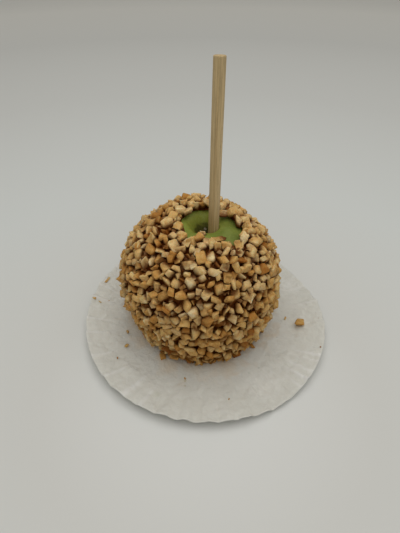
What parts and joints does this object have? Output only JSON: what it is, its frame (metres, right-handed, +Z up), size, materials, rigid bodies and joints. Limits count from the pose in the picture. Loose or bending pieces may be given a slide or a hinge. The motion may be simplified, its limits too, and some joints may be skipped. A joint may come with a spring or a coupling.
{
  "type": "caramel apple",
  "caption": "Green apple on a round wooden stick, coated in caramel and chopped peanuts with a bare patch round the stem, standing in a flattened fluted paper case.",
  "frame": {"origin": "middle of the part's box, at the underside of the paper case", "axes": "+Z up along the apple, +X to the right seen from the front, +Y towards the back, the way the stick leans"},
  "size_m": [0.1564, 0.1564, 0.16],
  "materials": {
    "apple_skin": "waxy green apple skin",
    "nuts_and_caramel": "roasted chopped peanuts set in dark glossy caramel",
    "pale_wood": "bare sanded dowel with fine straight grain",
    "white_paper": "thin white baking paper, slightly greasy"
  },
  "bodies": {
    "root": {"apple": "apple_skin", "nut_caramel_coat": "nuts_and_caramel", "stick": "pale_wood", "paper_case": "white_paper"}
  },
  "joints": []
}
